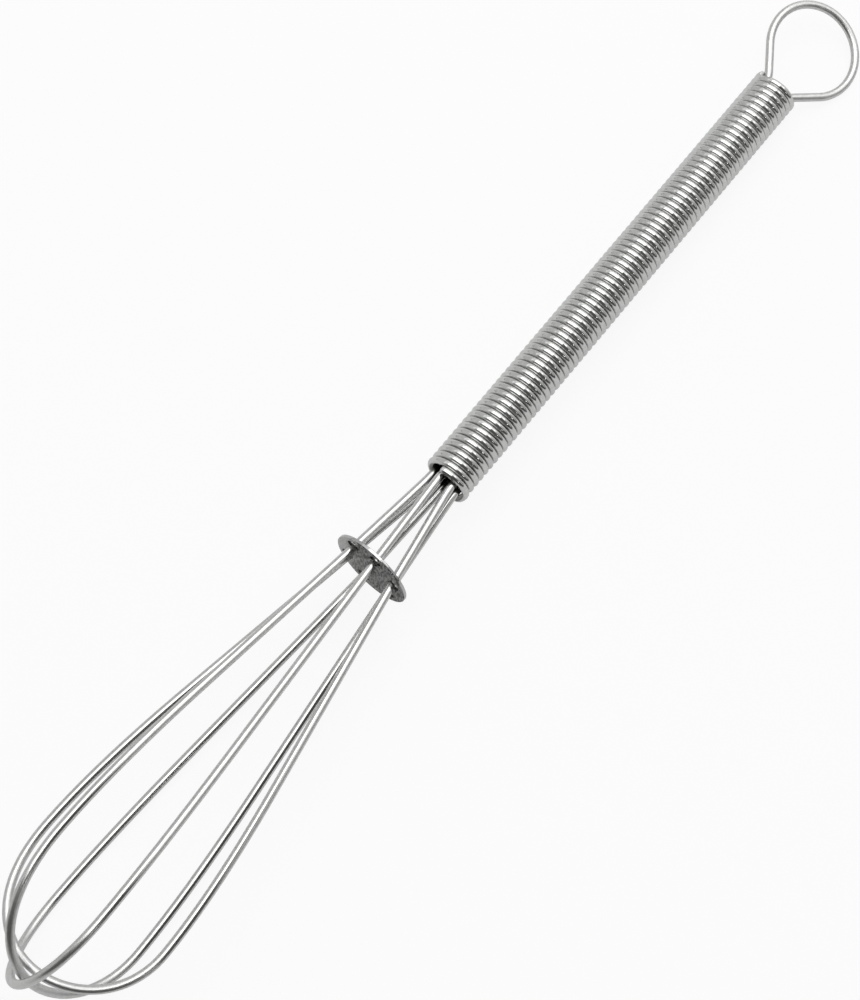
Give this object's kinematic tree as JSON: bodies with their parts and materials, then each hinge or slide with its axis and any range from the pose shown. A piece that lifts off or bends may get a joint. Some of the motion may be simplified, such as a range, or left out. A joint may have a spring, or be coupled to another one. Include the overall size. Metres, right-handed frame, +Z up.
{
  "type": "whisk",
  "caption": "Small wire whisk: nested balloon loops cross at the tip and run through a spacer disc into a close-wound coil handle that grips a hanging loop.",
  "frame": {"origin": "middle of the whisk's length and width, on the surface it lies on", "axes": "+X along the handle from the beater's tip to the hanging loop, +Z up from the surface, +Y to the left looking along +X"},
  "size_m": [0.1742, 0.023, 0.0223],
  "materials": {
    "wire_steel": "bright drawn stainless wire",
    "coil_steel": "bright drawn stainless wire, close-wound",
    "disc_steel": "satin stamped stainless sheet"
  },
  "bodies": {
    "root": {"outer_beater_loop": "wire_steel", "middle_beater_loop": "wire_steel", "inner_beater_loop": "wire_steel", "spacer_disc": "disc_steel", "handle_coil": "coil_steel", "hang_loop": "wire_steel"}
  },
  "joints": []
}
